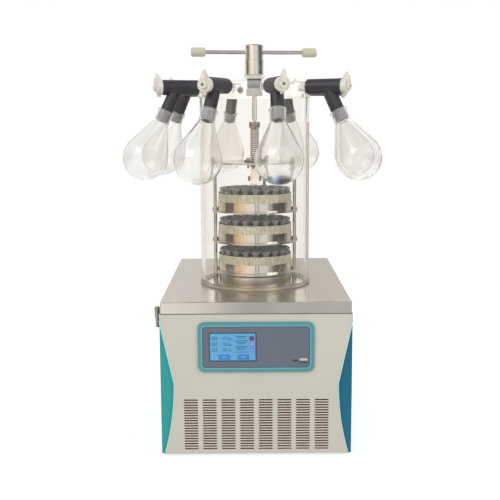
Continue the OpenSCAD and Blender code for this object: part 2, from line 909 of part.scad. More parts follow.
// rows of vials round the centre: radius, number in the row and start angle
row_step = vial_d + 0.12;
row_out = tray_d / 2 - 2.7 - vial_d / 2;
starts = [-89, -83, 0, 22.5];
function in_row(r) =
  r < vial_d / 2 + 0.1 ? 1 : floor(180 / asin(min(1, (vial_d + 1.5) / 2 / r)));
rows = [for (k = [0 : floor(row_out / row_step)])
  let (r = row_out - k * row_step)
  [in_row(r) == 1 ? 0 : r, in_row(r), k < 4 ? starts[k] : 0]];

module at_vials() {
  for (i = [0 : 2], r = rows, k = [0 : r[1] - 1])
    rotate([0, 0, r[2] + k * 360 / r[1]]) translate([r[0], 0, layer_z(i) + 1]) children();
}

module vials() {
  r = vial_d / 2;
  color([0.85, 0.88, 0.87, 0.5])
  at_vials() rotate_extrude($fn = 32)
    polygon([[0, 0], [r, 0], [r, 32], [8, 37], [8, vial_h - 4], [10, vial_h - 4],
             [10, vial_h], [6.4, vial_h], [6.4, 36], [r - 1.2, 31], [r - 1.2, 1.5],
             [0, 1.5]]);
}

module stoppers() {
  color([0.25, 0.25, 0.27])
  at_vials() rotate_extrude($fn = 32)
    polygon([[0, vial_h - 6], [6.2, vial_h - 6], [6.2, stop_top - 5],
             [9.5, stop_top - 5], [9.5, stop_top - 1], [0, stop_top - 1]]);
}

// ---------------------------------------------------------------- valves and flasks

module valve_bodies() {
  edge = 3;
  color([0.16, 0.15, 0.17])
  for (i = [0 : 7]) at_port(i)
    difference() {
      union() {
        rotate([0, 90, 0]) rotate_extrude()
          polygon(concat(
            [[0, jar_r - man_wall + 2], [spigot_d / 2, jar_r - man_wall + 2],
             [spigot_d / 2, tube_in]],
            [for (a = [0 : 15 : 90])
              [tube_d / 2 - edge + edge * sin(a), tube_in + edge - edge * cos(a)]],
            [[tube_d / 2, tube_out - 1.5], [tube_d / 2 - 1.5, tube_out], [0, tube_out]]));
        translate([root_r, 0, 0]) rotate([0, 180 - branch_tilt, 0]) {
          cylinder(d = branch_d, h = rim_s + dip - 2);
          translate([0, 0, rim_s + dip - 2]) cylinder(d1 = branch_d, d2 = branch_d - 3, h = 2);
        }
      }
      rotate([0, 90, 0]) cylinder(d = 15, h = stem_in + 1);
      translate([stem_in - seat, 0, 0]) rotate([0, 90, 0])
        cylinder(d = stem_d + 2 * run, h = 200);
      translate([root_r, 0, 0]) rotate([0, 180 - branch_tilt, 0])
        cylinder(d = 15, h = 200);
    }
}

// plug with its stem, knob, fin and pointer; the fin points up
module plug() {
  face = tube_out + seat;
  difference() {
    union() {
      translate([stem_in, 0, 0]) rotate([0, 90, 0]) cylinder(d = stem_d, h = face - stem_in + 1);
      translate([face, 0, 0]) rotate([0, 90, 0]) cylinder(d = 33, h = knob_t);
      translate([face + knob_t - 1, 0, 0]) rotate([0, 90, 0]) cylinder(d = 18, h = 8);
      // fin
      intersection() {
        translate([0, 10, 0]) rotate([90, 0, 0]) linear_extrude(20)
          polygon([[face + 0.5, 7], [face + 19, 7], [face + 19, 15], [face + 17.2, 22],
                   [face + 12.5, 33], [face + 10, 33], [face + 4.4, 23], [face + 0.5, 15.5]]);
        translate([face, 0, 0]) rotate([90, 0, 90]) linear_extrude(22)
          polygon([[-5.5, 7], [5.5, 7], [5.5, 16], [3.8, 24], [1.3, 33], [-1.3, 33],
                   [-3.8, 24], [-5.5, 16]]);
      }
      // pointer
      translate([face + 3, 0, 0]) rotate([90, 0, 90]) linear_extrude(8)
        polygon([[-4, -14], [4, -14], [0.6, -22], [-0.6, -22]]);
    }
    // passage from the branch to the manifold
    translate([stem_in - 1, 0, 0]) rotate([0, 90, 0]) cylinder(d = 12, h = 28);
    translate([root_r, 0, 0]) rotate([180, 0, 0]) cylinder(d = 12, h = 30);
    // vent hole in the front
    translate([face + knob_t - 1, 0, 0]) rotate([0, 90, 0]) cylinder(d = 8, h = 20);
  }
}

module valve_plug(i) {
  color([0.87, 0.85, 0.80])
  at_port(i) plug();
}

// half section of a flask, from the rim at 0 down to the bottom of the bulb;
// each arc ends in a tiny flat on the axis
function bulb_arc(r, c, a0, n) =
  [for (k = [0 : n]) let (a = a0 + (178 - a0) * k / n) [r * sin(a), c - r * cos(a)]];

module flask_shape() {
  c = bulb_s - rim_s;
  ri = bulb_r - glass;
  reach = c - neck_len;
  n = 20;
  // angle of the bulb's radius where the straight shoulder meets it
  meet = 90 - asin(bulb_r / norm([neck_d / 2, reach])) + atan(neck_d / 2 / reach);
  outer = bulb_arc(bulb_r, c, meet, n);
  inner = bulb_arc(ri, c, meet, n);
  rotate_extrude($fn = 72)
    polygon(concat(
      [[neck_id / 2, 0], [neck_d / 2 + 1, 0], [neck_d / 2 + 2, 1.5],
       [neck_d / 2 + 2, 4], [neck_d / 2, 6], [neck_d / 2, neck_len]],
      outer,
      [[0, outer[n][1]], [0, inner[n][1]]],
      [for (k = [n : -1 : 0]) inner[k]],
      [[neck_d / 2 - glass, neck_len + 0.4], [neck_id / 2, neck_len - 2]]));
}

module flask(i) {
  color([0.90, 0.92, 0.90, 0.4])
  at_port(i) translate([root_r, 0, 0]) rotate([0, 180 - branch_tilt, 0])
    translate([0, 0, rim_s]) flask_shape();
}

placed() base_pan();
placed() front_panel();
placed() left_side_panel();
placed() right_side_panel();
placed() rear_panel();
placed() top_plate();
placed() feet();
placed() display_bezel();
placed() control_panel();
placed() touch_screen();
placed() usb_port();
placed() vent_valve_body();
placed() vent_valve_knob();
placed() power_inlet();
placed() power_switch();
placed() cold_trap();
placed() evaporator_coil();
placed() compressor();
placed() condenser();
placed() fan_shroud();
placed() fan_blades();
placed() control_board();
placed() seal_ring();
placed() trap_collar();
placed() bell_jar();
placed() manifold();
placed() lid();
placed() lid_gland();
placed() gland_washers();
placed() handle_hub();
placed() handle_bar();
placed() handle_grips();
placed() drive_shaft();
placed() lead_screw();
placed() screw_nut();
placed() press_foot();
placed() rack_top_plate();
placed() rack_rods();
placed() shelves();
placed() trays();
placed() vial_rings();
placed() vials();
placed() stoppers();
placed() valve_bodies();
placed() valve_plug(0);  // valve_plug_1
placed() valve_plug(1);  // valve_plug_2
placed() valve_plug(2);  // valve_plug_3
placed() valve_plug(3);  // valve_plug_4
placed() valve_plug(4);  // valve_plug_5
placed() valve_plug(5);  // valve_plug_6
placed() valve_plug(6);  // valve_plug_7
placed() valve_plug(7);  // valve_plug_8
placed() flask(0);  // flask_1
placed() flask(1);  // flask_2
placed() flask(2);  // flask_3
placed() flask(3);  // flask_4
placed() flask(4);  // flask_5
placed() flask(5);  // flask_6
placed() flask(6);  // flask_7
placed() flask(7);  // flask_8
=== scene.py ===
"""Looks of the benchtop freeze dryer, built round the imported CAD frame.

Metres, +Z up, the front faces -Y. The chamber's upright axis stands at x = 0, y = axis_y.
"""
import json
import math

import bpy
from mathutils import Matrix, Vector


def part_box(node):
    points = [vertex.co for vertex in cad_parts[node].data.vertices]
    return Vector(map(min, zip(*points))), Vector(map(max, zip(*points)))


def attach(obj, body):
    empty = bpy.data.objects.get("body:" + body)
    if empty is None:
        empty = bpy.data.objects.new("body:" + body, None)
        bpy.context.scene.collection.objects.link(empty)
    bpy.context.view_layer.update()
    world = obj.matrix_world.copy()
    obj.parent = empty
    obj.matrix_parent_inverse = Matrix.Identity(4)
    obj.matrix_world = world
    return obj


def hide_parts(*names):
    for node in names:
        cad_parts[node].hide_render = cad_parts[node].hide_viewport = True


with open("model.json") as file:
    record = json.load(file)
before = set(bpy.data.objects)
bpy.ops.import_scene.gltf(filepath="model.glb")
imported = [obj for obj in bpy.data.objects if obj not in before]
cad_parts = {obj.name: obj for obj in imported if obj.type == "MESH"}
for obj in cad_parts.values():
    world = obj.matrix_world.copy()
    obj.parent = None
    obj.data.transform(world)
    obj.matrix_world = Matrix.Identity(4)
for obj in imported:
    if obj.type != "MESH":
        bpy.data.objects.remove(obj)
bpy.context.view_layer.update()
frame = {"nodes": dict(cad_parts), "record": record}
nodes = frame["nodes"]

# ------------------------------------------------------------------ places taken from the frame

jar_lo, jar_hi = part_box("bell_jar")
axis_y = (jar_lo.y + jar_hi.y) / 2
plate_lo, plate_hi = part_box("top_plate")
front_lo, front_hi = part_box("front_panel")
bezel_lo, bezel_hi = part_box("display_bezel")
fascia_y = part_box("control_panel")[0].y
screen_lo, screen_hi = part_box("touch_screen")
port_lo, port_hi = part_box("usb_port")
port_z = (port_lo.z + port_hi.z) / 2

# sizes of the source that no box of the frame gives, and limits that tell its faces apart
WAIST_IN = 0.031          # inset of the front panel's edge at its waist
WAIST_Z = 0.172           # height of that waist
FOOT_IN = 0.007           # inset of the same edge at its foot
SLANT_TOP = 0.318         # height at which the slanted edge is back at full width
VENT_HALF_W = 0.172       # the louvre slots lie within this half width
VENT_LOW, VENT_TOP = 0.014, 0.148   # and between these heights
CUT_END_R = 0.1415        # the valves' cut ends lie nearer to the axis than this
FIN_LOW = 0.8585          # the upper fins of the valve plugs stand over this height
FLASK_LEAN = math.radians(26)
FLASK_NECK = 0.034        # length of the ground neck
BULB_R, FLASK_WALL = 0.0535, 0.0021
SCREW_PITCH = 0.005
SCREW_STEM_H, SCREW_COLLAR_H = 0.0203, 0.014


# ------------------------------------------------------------------ node trees

def srgb(r, g, b):
    """An sRGB colour in 0..255 as the linear RGBA that a socket takes."""
    def linear(c):
        c = c / 255
        return c / 12.92 if c <= 0.04045 else ((c + 0.055) / 1.055) ** 2.4
    return (linear(r), linear(g), linear(b), 1.0)


def shade(colour, factor, lift=0.0):
    """A colour made darker or lighter by a factor and a lift."""
    return tuple(min(1, c * factor + lift) for c in colour[:3]) + (1,)


WHITE = (1, 1, 1, 1)


class Net:
    """A node tree, built by calls that take numbers, colours or other nodes' outputs."""

    def __init__(self, tree, output):
        self.tree = tree
        tree.nodes.clear()
        self.out = tree.nodes.new(output)

    def plug(self, socket, value):
        """Links a socket to another node's output, or gives it a value of its own."""
        if isinstance(value, bpy.types.NodeSocket):
            self.tree.links.new(value, socket)
        else:
            socket.default_value = value

    def add(self, kind, ins=None, **props):
        """A node with its inputs and its properties set."""
        node = self.tree.nodes.new(kind)
        for key, value in props.items():
            setattr(node, key, value)
        for key, value in (ins or {}).items():
            self.plug(node.inputs[key], value)
        return node

    def spot(self, kind="Object"):
        """The X, Y and Z outputs of a texture coordinate."""
        return self.add("ShaderNodeSeparateXYZ", {0: self.add("ShaderNodeTexCoord").outputs[kind]}).outputs

    def math(self, op, a, b=0.0, c=0.0, clamp=False):
        """One sum of up to three values."""
        return self.add("ShaderNodeMath", {0: a, 1: b, 2: c}, operation=op, use_clamp=clamp).outputs[0]

    def rise(self, value, start, end, low=0.0, high=1.0):
        """Goes from low to high while value goes from start to end."""
        return self.add("ShaderNodeMapRange", {
            "Value": value, "From Min": start, "From Max": end,
            "To Min": low, "To Max": high}).outputs[0]

    def ramp(self, fac, stops):
        """A colour ramp; stops are (position, RGBA or grey)."""
        node = self.add("ShaderNodeValToRGB", {"Fac": fac})
        ramp = node.color_ramp
        while len(ramp.elements) < len(stops):
            ramp.elements.new(0.5)
        for element, (pos, colour) in zip(ramp.elements, stops):
            element.position = pos
            element.color = colour if hasattr(colour, "__len__") else (colour, colour, colour, 1)
        return node.outputs["Color"]

    def mix(self, fac, a, b):
        """Colour a where fac is 0 and colour b where it is 1."""
        node = self.add("ShaderNodeMix", {"Factor": fac, 6: a, 7: b}, data_type="RGBA")
        return node.outputs[2]

    def blend(self, fac, a, b):
        """Shader a where fac is 0 and shader b where it is 1."""
        return self.add("ShaderNodeMixShader", {0: fac, 1: a, 2: b}).outputs[0]


class Coat(Net):
    """A material, made of noise, a bumpy surface with softened edges, and a shader."""

    def __init__(self, name):
        self.mat = bpy.data.materials.new(name)
        self.mat.use_nodes = True
        super().__init__(self.mat.node_tree, "ShaderNodeOutputMaterial")

    def noise(self, scale, detail=3.0, rough=0.5, stretch=(1, 1, 1)):
        """Noise in the object's coordinates, which stretch scales along each axis."""
        coords = self.add("ShaderNodeMapping", {
            "Vector": self.add("ShaderNodeTexCoord").outputs["Object"], "Scale": stretch})
        return self.add("ShaderNodeTexNoise", {
            "Vector": coords.outputs[0], "Scale": scale, "Detail": detail,
            "Roughness": rough}).outputs["Fac"]

    def surface(self, height, strength, distance, edge):
        """The normal of a surface with a bump in it, whose edges are worn round to a radius."""
        worn = self.add("ShaderNodeBevel", {"Radius": edge}, samples=4).outputs[0]
        return self.add("ShaderNodeBump", {
            "Height": height, "Strength": strength, "Distance": distance, "Normal": worn}).outputs[0]

    def principled(self, **ins):
        """The material's shader, with its inputs named with underscores."""
        names = {key.replace("_", " "): value for key, value in ins.items()}
        shader = self.add("ShaderNodeBsdfPrincipled", names).outputs[0]
        self.plug(self.out.inputs[0], shader)
        return shader


# ------------------------------------------------------------------ materials

def paint(name, colour, rough):
    """Powder coat: a faint cloud in the colour, orange peel and softened edges."""
    n = Coat(name)
    cloud = n.ramp(n.noise(6.0, detail=4, rough=0.6), [(0.3, 0.0), (0.7, 1.0)])
    peel = n.surface(n.noise(900.0, detail=2), strength=0.08, distance=0.0004, edge=0.0012)
    n.principled(Base_Color=n.mix(cloud, colour, shade(colour, 0.95)),
                 Roughness=rough, Normal=peel, IOR=1.45)
    return n.mat


def plastic(name, colour, rough=0.35, edge=0.0006, grain=0.05, subsurface=0.0, glow=0.0):
    """Moulded plastic with a faint cloud and grain. glow is painted light: emission in its own colour,
    though it is no lamp.
    """
    n = Coat(name)
    base = n.mix(n.noise(25.0), colour, shade(colour, 0.96))
    normal = n.surface(n.noise(1400.0, detail=2), grain, distance=0.0003, edge=edge)
    n.principled(Base_Color=base, Roughness=rough, Normal=normal, IOR=1.46,
                 Subsurface_Weight=subsurface, Subsurface_Radius=(0.003, 0.002, 0.001),
                 Emission_Color=colour, Emission_Strength=glow)
    return n.mat


def rubber(name, colour, rough=0.55, edge=0.0015):
    """Moulded rubber with a bloom in patches and a fine skin."""
    n = Coat(name)
    bloom = n.ramp(n.noise(30.0, detail=5, rough=0.65), [(0.35, 0.0), (0.75, 1.0)])
    base = n.mix(bloom, colour, shade(colour, 1.6, lift=0.004))
    roughness = n.math("MULTIPLY_ADD", bloom, 0.12, rough - 0.05)
    normal = n.surface(n.noise(700.0), strength=0.12, distance=0.0004, edge=edge)
    n.principled(Base_Color=base, Roughness=roughness, Normal=normal, IOR=1.5)
    return n.mat


def stopper(name, top, side):
    """Grey moulded stopper: its top is painted darker than its skirt and rim, as painted shade."""
    n = Coat(name)
    normals = n.add("ShaderNodeNewGeometry").outputs["Normal"]
    upward = n.add("ShaderNodeSeparateXYZ", {0: normals}).outputs[2]
    # painted shade: faces that look up get the dark top colour, faces that look sideways the pale side
    # colour
    tint = n.mix(n.ramp(upward, [(0.25, 0.0), (0.8, 1.0)]), side, top)
    patch = n.mix(n.noise(90.0, detail=4), tint, top)
    normal = n.surface(n.noise(700.0), strength=0.12, distance=0.0004, edge=0.0006)
    n.principled(Base_Color=patch, Roughness=0.45, Normal=normal, IOR=1.5)
    return n.mat


def metal(name, colour, rough, edge=0.0006):
    """Bare metal with smears in its tint and gloss."""
    n = Coat(name)
    smear = n.noise(60.0, detail=4, rough=0.6)
    base = n.mix(smear, shade(colour, 0.9), colour)
    roughness = n.math("MULTIPLY_ADD", smear, 0.14, rough - 0.05)
    normal = n.surface(n.noise(800.0, detail=2), strength=0.04, distance=0.0003, edge=edge)
    n.principled(Base_Color=base, Metallic=1.0, Roughness=roughness, Normal=normal)
    return n.mat


def brushed(name, colour, rough):
    """Brushed plate: fine streaks along X in the tint, the gloss and the surface."""
    n = Coat(name)
    fine = n.noise(1.0, detail=5, rough=0.7, stretch=(3, 500, 500))
    wide = n.noise(1.0, stretch=(0.36, 60, 60))
    streak = n.math("MULTIPLY_ADD", fine, 0.6, n.math("MULTIPLY", wide, 0.4))
    base = n.mix(streak, shade(colour, 0.86), colour)
    roughness = n.math("MULTIPLY_ADD", streak, 0.16, rough - 0.08)
    normal = n.surface(fine, strength=0.04, distance=0.0002, edge=0.0016)
    across = n.add("ShaderNodeTangent", direction_type="RADIAL", axis="X").outputs[0]
    n.principled(Base_Color=base, Metallic=1.0, Roughness=roughness, Normal=normal,
                 Anisotropic=0.93, Tangent=across)
    return n.mat


def mottled(name, light, dark):
    """Satin sheet with fine upright streaks, as thin perforated metal shows from far away."""
    n = Coat(name)
    streak = n.ramp(n.noise(1.0, detail=4, rough=0.6, stretch=(380, 380, 60)), [(0.36, 0.0), (0.60, 1.0)])
    roughness = n.math("MULTIPLY_ADD", streak, 0.12, 0.34)
    normal = n.surface(streak, strength=0.25, distance=0.0004, edge=0.0006)
    n.principled(Base_Color=n.mix(streak, dark, light), Metallic=0.55, Roughness=roughness,
                 Normal=normal)
    return n.mat


def clear(name, colour, rough=0.0, *, ior, haze=0.0, back_haze=None):
    """Clear glass or acrylic. Its shadow is let through, so that what is behind stays bright.

    With back_haze, the haze grows to that value from the front of the chamber to its back.
    """
    n = Coat(name)
    roughness = n.math("MULTIPLY_ADD", n.noise(9.0), 0.03, rough)
    through = 1.0 - haze
    if back_haze is not None:
        through = n.rise(n.spot()[1], axis_y - 0.03, axis_y + 0.03, low=1.0 - haze, high=1.0 - back_haze)
    glass = n.principled(Base_Color=colour, Roughness=roughness, IOR=ior, Transmission_Weight=through)
    shadow = n.add("ShaderNodeBsdfTransparent", {"Color": (0.96, 0.96, 0.96, 1)}).outputs[0]
    path = n.add("ShaderNodeLightPath")
    n.plug(n.out.inputs[0], n.blend(path.outputs["Is Shadow Ray"], glass, shadow))
    return n.mat


def shaded_below(name, low, high, z0, z1):
    """A moulding that turns from one colour to another between two heights; the low colour is painted
    shade.
    """
    n = Coat(name)
    share = n.rise(n.spot()[2], z0, z1)
    base = n.mix(n.noise(40.0), n.mix(share, low, high), n.mix(share, low, shade(high, 0.9)))
    normal = n.surface(n.noise(900.0, detail=2), strength=0.06, distance=0.0003, edge=0.0006)
    n.principled(Base_Color=base, Roughness=0.4, Normal=normal, IOR=1.46)
    return n.mat


def greased_and_shaded(name, colour, grease_and_shade, r_root, r_crest):
    """Steel with dark grease and painted shade in its grooves, told by the distance from the chamber's
    axis.
    """
    n = Coat(name)
    x, y, _ = n.spot()
    away = n.math("SUBTRACT", y, axis_y)
    radius = n.math("SQRT", n.math("MULTIPLY_ADD", x, x, n.math("MULTIPLY", away, away)))
    smear = n.math("MULTIPLY_ADD", n.noise(140.0, detail=4), 0.5, -0.25)
    crest = n.math("ADD", n.rise(radius, r_root, r_crest), smear, clamp=True)
    roughness = n.math("MULTIPLY_ADD", crest, -0.27, 0.45)
    normal = n.surface(n.noise(900.0, detail=2), strength=0.06, distance=0.0003, edge=0.0003)
    n.principled(Base_Color=n.mix(crest, grease_and_shade, colour), Metallic=0.9, Roughness=roughness,
                 Normal=normal)
    return n.mat


def ice(name, left, right):
    """Frozen dark blue sample that turns from blue and frosty to grey between two places along X."""
    n = Coat(name)
    wave = n.math("MULTIPLY_ADD", n.noise(60.0), 0.010, n.spot()[0])
    tint = n.ramp(n.rise(wave, left, right), [
        (0.0, srgb(92, 98, 110)), (0.16, srgb(100, 130, 164)), (0.27, srgb(196, 210, 224)),
        (0.40, srgb(120, 148, 180)), (0.50, srgb(66, 74, 86)), (1.0, srgb(96, 95, 92))])
    normal = n.surface(n.noise(260.0), strength=0.15, distance=0.0006, edge=0.0008)
    n.principled(Base_Color=tint, Roughness=0.22, Normal=normal, IOR=1.33)
    return n.mat


# ------------------------------------------------------------------ the frame's nodes by slot

made = {
    "cream_paint": paint("cream_paint", srgb(206, 202, 190), 0.40),
    "left_trim": paint("left_trim", srgb(40, 158, 155), 0.35),
    "right_trim": paint("right_trim", srgb(4, 104, 132), 0.35),
    "zinc_sheet": metal("zinc_sheet", srgb(190, 192, 194), 0.45),
    "plate_steel": brushed("plate_steel", srgb(220, 213, 204), 0.21),
    "foot_rubber": rubber("foot_rubber", srgb(36, 36, 38)),
    "bezel_plastic": plastic("bezel_plastic", srgb(84, 150, 158), 0.3, edge=0.001),
    "fascia_plastic": plastic("fascia_plastic", srgb(103, 111, 124), 0.45, edge=0.0008, grain=0.12),
    "screen": plastic("screen", srgb(99, 172, 216), 0.12),
    "port_plastic": plastic("port_plastic", srgb(232, 230, 224), 0.4),
    "valve_metal": metal("valve_metal", srgb(170, 166, 156), 0.25),
    "black_plastic": plastic("black_plastic", srgb(40, 40, 42), 0.4),
    "switch_plastic": plastic("switch_plastic", srgb(196, 40, 34), 0.25),
    "trap_steel": metal("trap_steel", srgb(216, 212, 206), 0.14),
    "copper": metal("copper", srgb(200, 128, 88), 0.3),
    "black_paint": paint("black_paint", srgb(34, 34, 37), 0.4),
    "fin_metal": metal("fin_metal", srgb(196, 198, 200), 0.35),
    "board": plastic("board", srgb(30, 98, 60), 0.5),
    "seal_rubber": clear("seal_rubber", srgb(232, 224, 204), 0.25, ior=1.41, haze=0.16),
    "clear_acrylic": clear("clear_acrylic", srgb(252, 250, 247), ior=1.25, haze=0.018),
    "manifold_acrylic": clear("manifold_acrylic", srgb(252, 251, 248), 0.06, ior=1.12, haze=0.13,
                              back_haze=0.95),
    "hub_steel": metal("hub_steel", srgb(238, 235, 231), 0.25),
    "white_nylon": plastic("white_nylon", srgb(238, 238, 234), 0.45),
    "grip_plastic": plastic("grip_plastic", srgb(200, 198, 176), 0.4, edge=0.001),
    "nut_metal": metal("nut_metal", srgb(150, 142, 126), 0.3),
    "cream_plastic": plastic("cream_plastic", srgb(224, 219, 206), edge=0.001, subsurface=0.2),
    "rack_steel": metal("rack_steel", srgb(214, 211, 206), 0.12),
    "tray_steel": metal("tray_steel", srgb(232, 226, 216), 0.09),
    "ring_metal": mottled("ring_metal", srgb(210, 205, 184), srgb(160, 154, 134)),
    "vial_glass": clear("vial_glass", srgb(240, 246, 244), ior=1.5),
    # stoppers: a top in dark painted shade and a pale side
    "stopper_rubber": stopper("stopper_rubber", srgb(60, 56, 60), srgb(156, 152, 150)),
    "valve_rubber": rubber("valve_rubber", srgb(45, 42, 47), 0.5),
    "flask_glass": clear("flask_glass", srgb(248, 247, 245), ior=1.42, haze=0.035),
}


def recoat(node, material):
    """Gives a whole node its own material."""
    mesh = nodes[node].data
    mesh.materials.clear()
    mesh.materials.append(material)


def coat_faces(node, material, chosen):
    """Gives a second material to the faces of a node whose corners and normal are chosen."""
    mesh = nodes[node].data
    mesh.materials.append(material)
    for face in mesh.polygons:
        corners = [mesh.vertices[i].co for i in face.vertices]
        if chosen(corners, face.normal):
            face.material_index = 1


def under(height):
    """Chooses the faces that lie wholly under a height."""
    return lambda corners, normal: max(v.z for v in corners) < height


def over(height):
    """Chooses the faces that lie wholly over a height."""
    return lambda corners, normal: min(v.z for v in corners) > height


for part in frame["record"]["subparts"]:
    recoat(part["node"], made[part["material_slot"]])


# ------------------------------------------------------------------ nodes that differ from their slot

def shaded_slot_wall(corners, normal):
    """Chooses the walls of the louvre slots, which get painted shade."""
    in_width = max(abs(v.x) for v in corners) < VENT_HALF_W
    in_height = min(v.z for v in corners) > VENT_LOW and max(v.z for v in corners) < VENT_TOP
    return abs(normal.y) < 0.5 and in_width and in_height


def coat_cabinet():
    """Brown inner parts, louvre slots with walls in painted shade, and a port cover painted shade under its
    open lower edge.
    """
    # painted shade: the slot walls are cream panel, coloured dark brown as the recesses look in shade
    coat_faces("front_panel", paint("shaded_slot_wall", srgb(176, 124, 104), 0.6), shaded_slot_wall)
    for node, tint in (("condenser", srgb(112, 66, 50)), ("fan_shroud", srgb(58, 36, 30)),
                       ("fan_blades", srgb(96, 60, 48))):
        recoat(node, paint(node + "_paint", tint, 0.5))
    # the port cover's lower part is painted shade, for the dark recess under its open lower edge
    recoat("usb_port", shaded_below("port_cover_shaded", srgb(88, 90, 96), srgb(208, 206, 202),
                                port_z - 0.001, port_z + 0.0008))


def coat_press():
    """The press and the lid: a drawn bar, a gland black under its top, a clear and a grey washer."""
    margin = 0.002
    lid_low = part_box("lid")[0].z + margin
    washers_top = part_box("gland_washers")[1].z + margin
    recoat("handle_bar", metal("bar_steel", srgb(204, 193, 197), 0.10))
    recoat("lid", clear("lid_acrylic", srgb(254, 253, 250), 0.04, ior=1.0, haze=0.03))
    coat_faces("lid_gland", paint("gland_black", srgb(20, 19, 18), 0.45), under(washers_top))
    recoat("gland_washers", clear("washer_silicone", srgb(248, 246, 241), 0.3, ior=1.05, haze=0.4))
    coat_faces("gland_washers", plastic("gland_washer", srgb(140, 136, 130), 0.45), under(lid_low))
    # the foot's glow is painted light, which brightens it in the shade under the rack plate
    recoat("press_foot", plastic("foot_nylon", srgb(255, 248, 236), 0.4, glow=0.3))


def coat_valves():
    """Each rubber valve has a pale cut end, which shows through its port. Each plug's upper fin is thin."""
    def cut_end(corners, normal):
        return max(math.hypot(v.x, v.y - axis_y) for v in corners) < CUT_END_R

    coat_faces("valve_bodies", rubber("valve_end", srgb(196, 194, 186)), cut_end)
    fin = clear("thin_fin", srgb(232, 230, 224), 0.3, ior=1.1, haze=0.62)
    for k in range(1, 9):
        coat_faces("valve_plug_%d" % k, fin, over(FIN_LOW))


def coat_flasks():
    """The ground neck of each flask, which is pushed over its rubber branch, is frosted."""
    frosted = clear("flask_neck", srgb(250, 248, 246), 0.16, ior=1.22, haze=0.115)
    for k in range(1, 9):
        flask = "flask_%d" % k
        points = [v.co for v in nodes[flask].data.vertices]
        centre = sum(points, Vector()) / len(points)
        outward = Vector((centre.x, centre.y - axis_y, 0)).normalized()
        lean = outward * math.sin(FLASK_LEAN) - Vector((0, 0, 1)) * math.cos(FLASK_LEAN)
        neck_end = min(v.dot(lean) for v in points) + FLASK_NECK
        coat_faces(flask, frosted, lambda corners, normal: max(v.dot(lean) for v in corners) < neck_end)


coat_cabinet()
coat_press()
coat_valves()
coat_flasks()


# ------------------------------------------------------------------ tools for the added pieces

def piece(name, verts, faces, mats, which=None, body="cabinet", smooth=False):
    """A new mesh piece that rides on a body. which gives each face's material."""
    mesh = bpy.data.meshes.new(name)
    mesh.from_pydata([tuple(v) for v in verts], [], faces)
    for mat in mats:
        mesh.materials.append(mat)
    if which:
        mesh.polygons.foreach_set("material_index", which)
    if smooth:
        mesh.polygons.foreach_set("use_smooth", [True] * len(faces))
    mesh.update()
    obj = bpy.data.objects.new(name, mesh)
    bpy.context.scene.collection.objects.link(obj)
    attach(obj, body)
    return obj


def tube_faces(start, rings, sides, closed=False):
    """Quads between rings of vertices that follow each other from start on."""
    faces = []
    for j in range(rings if closed else rings - 1):
        low, high = start + j * sides, start + (j + 1) % rings * sides
        for i in range(sides):
            m = (i + 1) % sides
            faces.append((low + i, low + m, high + m, high + i))
    return faces


def end_faces(start, rings, sides):
    """The two faces that close a tube of rings."""
    last = start + (rings - 1) * sides
    return [tuple(start + i for i in reversed(range(sides))), tuple(last + i for i in range(sides))]


def lathe(verts, faces, profile, place, turn, sides):
    """Adds a turned shape to the lists.

    The profile's (radius, height) points run along turn's Z axis from place.
    """
    start = len(verts)
    for radius, height in profile:
        for i in range(sides):
            a = 2 * math.pi * i / sides
            point = Vector((radius * math.cos(a), radius * math.sin(a), height))
            verts.append(Vector(place) + turn @ point)
    faces.extend(tube_faces(start, len(profile), sides))
    faces.extend(end_faces(start, len(profile), sides))


def sweep(name, path, radius, mat, closed=False):
    """A round bead along a path of points."""
    points = [Vector(p) for p in path]
    n, sides = len(points), 8
    verts = []
    for i, point in enumerate(points):
        before = points[(i - 1) % n] if closed or i else point
        after = points[(i + 1) % n] if closed or i < n - 1 else point
        along = (after - before).normalized()
        side = along.cross(Vector((0, 1, 0)))
        side = side.normalized() if side.length > 1e-6 else Vector((1, 0, 0))
        up = side.cross(along)
        for k in range(sides):
            a = 2 * math.pi * k / sides
            verts.append(point + side * (math.cos(a) * radius) + up * (math.sin(a) * radius))
    faces = tube_faces(0, n, sides, closed)
    if not closed:
        faces += end_faces(0, n, sides)
    piece(name, verts, faces, [mat], smooth=True)


def rounded(x0, z0, x1, z1, r=0.0, steps=5):
    """The outline of a rectangle with rounded corners, anticlockwise."""
    if r <= 0:
        return [(x0, z0), (x1, z0), (x1, z1), (x0, z1)]
    outline = []
    for cx, cz, start in ((x1 - r, z0 + r, -90), (x1 - r, z1 - r, 0),
                          (x0 + r, z1 - r, 90), (x0 + r, z0 + r, 180)):
        for i in range(steps + 1):
            a = math.radians(start + 90 * i / steps)
            outline.append((cx + r * math.cos(a), cz + r * math.sin(a)))
    return outline


class Tiles:
    """Thin raised tiles on a face that looks to -Y, gathered into one piece."""

    THICK, CHAMFER = 0.00022, 0.00008

    def __init__(self, y):
        self.y, self.verts, self.faces, self.which = y, [], [], []

    def tile(self, outline, mat, thick):
        """A tile with a small chamfer, from an outline of (x, z) points in anticlockwise order."""
        wall = thick * 0.6
        cx = sum(x for x, z in outline) / len(outline)
        cz = sum(z for x, z in outline) / len(outline)
        start, n = len(self.verts), len(outline)
        for height, shrink in ((0.0, 0.0), (wall, 0.0), (thick, self.CHAMFER)):
            for x, z in outline:
                d = math.hypot(x - cx, z - cz) or 1
                self.verts.append((x - (x - cx) / d * shrink, self.y - height, z - (z - cz) / d * shrink))
        faces = tube_faces(start, 3, n) + list(reversed(end_faces(start, 3, n)))
        self.faces += faces
        self.which += [mat] * len(faces)

    def rect(self, x0, z0, x1, z1, mat, r=0.0, thick=THICK):
        """A rectangular tile with rounded corners."""
        self.tile(rounded(x0, z0, x1, z1, r), mat, thick)

    def done(self, name, mats, slot):
        """Makes the piece from the tiles so far."""
        piece(name, self.verts, self.faces, mats, self.which)


# ------------------------------------------------------------------ what the screen shows

INK, RIM, RED, MAUVE, LILAC, KEY, GLOW = range(7)


